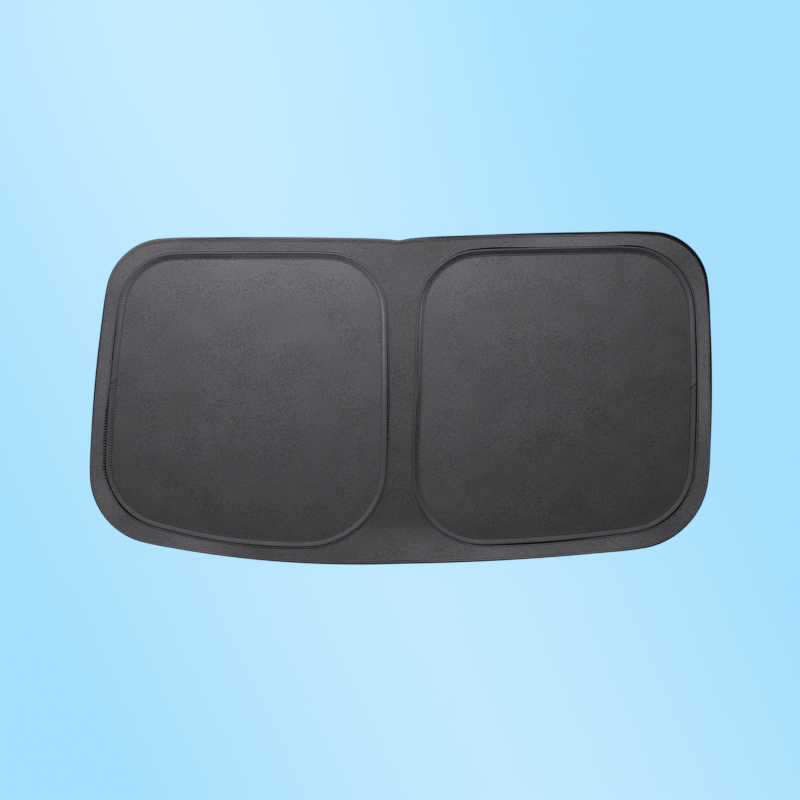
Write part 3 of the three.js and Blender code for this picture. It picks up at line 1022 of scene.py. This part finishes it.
def fabric_nodes(tree, shader, vector, across, along, depth, colour):
    """Weave and mottle on a fabric's shader, with shade painted in the weave's hollows. Gives the colour, for
    more to be laid over it.
    """
    weave = tree.nodes.new("ShaderNodeGroup")
    weave.node_tree = weave_group()
    weave.inputs["Across"].default_value = across
    weave.inputs["Along"].default_value = along
    tree.links.new(vector, weave.inputs["Vector"])
    mottle = tree.nodes.new("ShaderNodeGroup")
    mottle.node_tree = mottle_group()
    tree.links.new(vector, mottle.inputs["Vector"])
    threads = math_node(tree, "MULTIPLY_ADD", weave.outputs["Fibre"], 0.35)
    threads.node.inputs[2].default_value = -0.175
    height = math_node(tree, "ADD", weave.outputs["Height"], threads)
    bump = tree.nodes.new("ShaderNodeBump")
    bump.inputs["Strength"].default_value = 1
    bump.inputs["Distance"].default_value = depth
    tree.links.new(height, bump.inputs["Height"])
    tree.links.new(bump.outputs["Normal"], shader.inputs["Normal"])
    shade = math_node(tree, "MULTIPLY_ADD", mottle.outputs["Quick"], 1.7)
    slow = math_node(tree, "MULTIPLY_ADD", mottle.outputs["Slow"], 0.5)
    slow.node.inputs[2].default_value = -0.8
    tree.links.new(slow, shade.node.inputs[2])
    # Lighter where the weave's threads stand high: painted shade in the weave's hollows.
    shade = math_node(tree, "ADD", shade, math_node(tree, "MULTIPLY", height, 0.4))
    return mixed_colour(tree, shade, scaled(colour, 0.55), scaled(colour, 1.4))


def object_vector(tree):
    return tree.nodes.new("ShaderNodeTexCoord").outputs["Object"]


def tape_vector(tree):
    node = tree.nodes.new("ShaderNodeUVMap")
    node.uv_map = "tape"
    return node.outputs["UV"]


def painted_light_colour(tree, colour):
    """A colour scaled by the light and shade painted at each point of a piece."""
    toned = tree.nodes.new("ShaderNodeVectorMath")
    toned.operation = "SCALE"
    tree.links.new(colour, toned.inputs[0])
    tree.links.new(point_value(tree, "painted_light"), toned.inputs["Scale"])
    return toned.outputs[0]


def point_value(tree, name):
    node = tree.nodes.new("ShaderNodeAttribute")
    node.attribute_name = name
    return node.outputs["Fac"]


def fabric_material(name, sheen, vector, across, along, depth, colour, over=None):
    """Woven cloth or tape, with light and shade painted by place. over names the point value that lays a
    colour over it, and the colour."""
    material, tree, shader = new_material(name, 0.85, sheen=sheen)
    colour = painted_light_colour(tree, fabric_nodes(tree, shader, vector(tree), across, along, depth, colour))
    if over:
        colour = mixed_colour(tree, point_value(tree, over[0]), colour, over[1])
    tree.links.new(colour, shader.inputs["Base Color"])
    return material


def cloth_material():
    cloth = bpy.context.scene.sunshade_cloth
    across, along = cloth.thread_pitch, cloth.thread_pitch * 1.08
    return fabric_material("charcoal_cloth", 0.08, object_vector, across, along, 0.12 * MM, cloth.colour)


def casing_material():
    # The casing's painted seam shade is near black.
    colour, over = bpy.context.scene.sunshade_casing.colour, ("seam", (0.004, 0.004, 0.005))
    return fabric_material("casing_tape", 0.05, tape_vector, 0.7 * MM, 0.45 * MM, 0.1 * MM, colour, over)


def binding_material():
    binding = bpy.context.scene.sunshade_binding
    over = ("dark", binding.edge_colour)
    return fabric_material(
        "binding_tape", 0.08, tape_vector, 0.8 * MM, 0.5 * MM, 0.12 * MM, binding.colour, over
    )


def thread_material():
    settings = bpy.context.scene.sunshade_thread
    material, tree, shader = new_material("sewing_thread", 0.6, sheen=0.1)
    twist = noise_value(tree, object_vector(tree), 1800, 2)
    colour = mixed_colour(tree, twist, scaled(settings.colour, 0.6), scaled(settings.colour, 1.5))
    tree.links.new(colour, shader.inputs["Base Color"])
    bump = tree.nodes.new("ShaderNodeBump")
    bump.inputs["Distance"].default_value = 0.05 * MM
    tree.links.new(twist, bump.inputs["Height"])
    tree.links.new(bump.outputs["Normal"], shader.inputs["Normal"])
    return material


def steel_material(name, dark, light, roughness, scratch):
    """Steel with fine drawn marks in its colour and gloss."""
    material, tree, shader = new_material(name, roughness, metallic=1.0)
    marks = noise_value(tree, object_vector(tree), scratch, 4)
    tree.links.new(mixed_colour(tree, marks, dark, light), shader.inputs["Base Color"])
    gloss = math_node(tree, "MULTIPLY_ADD", marks, 0.25)
    gloss.node.inputs[2].default_value = roughness - 0.12
    tree.links.new(gloss, shader.inputs["Roughness"])
    return material


# The floor's light band: its slant, its middle, its half width and how its edge falls off, then the floor's
# own colour under the light from within.
BAND_SLANT, BAND_MIDDLE, BAND_HALF, BAND_FALL = 0.45, -0.08, 0.42, 1.3
FLOOR_GLOW = 0.98
FLOOR_BASE = (0.012, 0.014, 0.016, 1)


def floor_material():
    """A pale surface lit from within, a little deeper in colour to both sides of a slanting band."""
    settings = bpy.context.scene.sunshade_stage
    material, tree, shader = new_material("lit_floor", 0.9)
    split = tree.nodes.new("ShaderNodeSeparateXYZ")
    tree.links.new(object_vector(tree), split.inputs[0])
    across = math_node(tree, "MULTIPLY_ADD", split.outputs["Y"], BAND_SLANT)
    tree.links.new(split.outputs["X"], across.node.inputs[2])
    beside = math_node(tree, "SUBTRACT", across, BAND_MIDDLE)
    beside = math_node(tree, "DIVIDE", math_node(tree, "ABSOLUTE", beside), BAND_HALF)
    beside = math_node(tree, "POWER", math_node(tree, "MINIMUM", beside, 1), BAND_FALL)
    colour = mixed_colour(tree, beside, settings.floor_light, settings.floor_deep)
    tree.links.new(colour, shader.inputs["Emission Color"])
    shader.inputs["Emission Strength"].default_value = FLOOR_GLOW
    shader.inputs["Base Color"].default_value = FLOOR_BASE
    shader.inputs["Specular IOR Level"].default_value = 0
    return material


class SUNSHADE_OT_steel(bpy.types.Operator):
    """Finish the spring wires and their crimped sleeves"""

    bl_idname = "sunshade.steel"
    bl_label = "Wires and ferrules"

    def execute(self, context):
        wire = steel_material("spring_steel", (0.24, 0.25, 0.27), (0.42, 0.43, 0.45), 0.34, 900)
        crimp = steel_material("crimp_steel", (0.38, 0.39, 0.40), (0.58, 0.59, 0.60), 0.28, 700)
        for lobe in LOBES:
            for node, material in ((f"{lobe}_spring_wire", wire), (f"{lobe}_wire_ferrule", crimp)):
                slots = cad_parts[node].data.materials
                slots.clear()
                slots.append(material)
        return {"FINISHED"}


# Stage

# Where the view's middle lies on the shade, and the main light's place and size.
VIEW_MIDDLE = Vector((-0.95, -2.1, 0)) * MM
KEY_PLACE = Vector((-0.124, 0.524, 0.30))
KEY_AIM = Vector((0, 0, 0))
KEY_SIZE = (0.45, 0.28)


class SUNSHADE_OT_stage(bpy.types.Operator):
    """Set the floor, the lights and the camera"""

    bl_idname = "sunshade.stage"
    bl_label = "Stage"

    def execute(self, context):
        stage = context.scene.sunshade_stage
        deselect_all()
        bpy.ops.mesh.primitive_plane_add(size=30, location=(0, 0, 0))
        floor = context.object
        floor.name = "floor"
        floor.data.materials.append(floor_material())
        turn = (KEY_AIM - KEY_PLACE).to_track_quat("-Z", "Y").to_euler()
        bpy.ops.object.light_add(type="AREA", location=KEY_PLACE, rotation=turn)
        key = context.object.data
        key.shape = "RECTANGLE"
        key.size, key.size_y = KEY_SIZE
        key.energy = stage.key_power
        world = bpy.data.worlds.new("studio")
        world.use_nodes = True
        background = world.node_tree.nodes["Background"]
        background.inputs["Color"].default_value = (1, 1, 1, 1)
        background.inputs["Strength"].default_value = stage.fill
        context.scene.world = world
        context.scene.view_settings.view_transform = "Standard"
        sensor = 36
        distance = stage.lens / sensor * stage.view_width
        bpy.ops.object.camera_add(location=VIEW_MIDDLE + Vector((0, 0, distance)), rotation=(0, 0, 0))
        camera = context.object
        camera.data.sensor_width = sensor
        camera.data.lens = stage.lens
        camera.data.clip_end = 100
        context.scene.camera = camera
        return {"FINISHED"}


class SUNSHADE_PT_panel(bpy.types.Panel):
    bl_label = "Sunshade"
    bl_idname = "SUNSHADE_PT_panel"
    bl_space_type = "VIEW_3D"
    bl_region_type = "UI"
    bl_category = "Sunshade"

    def draw(self, context):
        for settings in SETTINGS:
            group = getattr(context.scene, settings)
            box = self.layout.box()
            for name in group.__annotations__:
                box.prop(group, name)
        for operator in OPERATORS:
            self.layout.operator(operator.bl_idname)


SETTINGS = {
    "sunshade_cloth": ClothSettings,
    "sunshade_casing": CasingSettings,
    "sunshade_binding": BindingSettings,
    "sunshade_thread": ThreadSettings,
    "sunshade_stage": StageSettings,
}
OPERATORS = (
    SUNSHADE_OT_stage, SUNSHADE_OT_cloth, SUNSHADE_OT_casings, SUNSHADE_OT_binding, SUNSHADE_OT_stitches,
    SUNSHADE_OT_steel,
)


def register():
    for settings in SETTINGS.values():
        bpy.utils.register_class(settings)
    for operator in (*OPERATORS, SUNSHADE_PT_panel):
        bpy.utils.register_class(operator)
    for name, settings in SETTINGS.items():
        setattr(bpy.types.Scene, name, bpy.props.PointerProperty(type=settings))


def unregister():
    for name in SETTINGS:
        delattr(bpy.types.Scene, name)
    for operator in (SUNSHADE_PT_panel, *reversed(OPERATORS)):
        bpy.utils.unregister_class(operator)
    for settings in reversed(SETTINGS.values()):
        bpy.utils.unregister_class(settings)


def main():
    register()
    bpy.ops.sunshade.stage()
    bpy.ops.sunshade.cloth()
    bpy.ops.sunshade.casings()
    bpy.ops.sunshade.binding()
    bpy.ops.sunshade.stitches()
    bpy.ops.sunshade.steel()


if __name__ == "__main__":
    main()
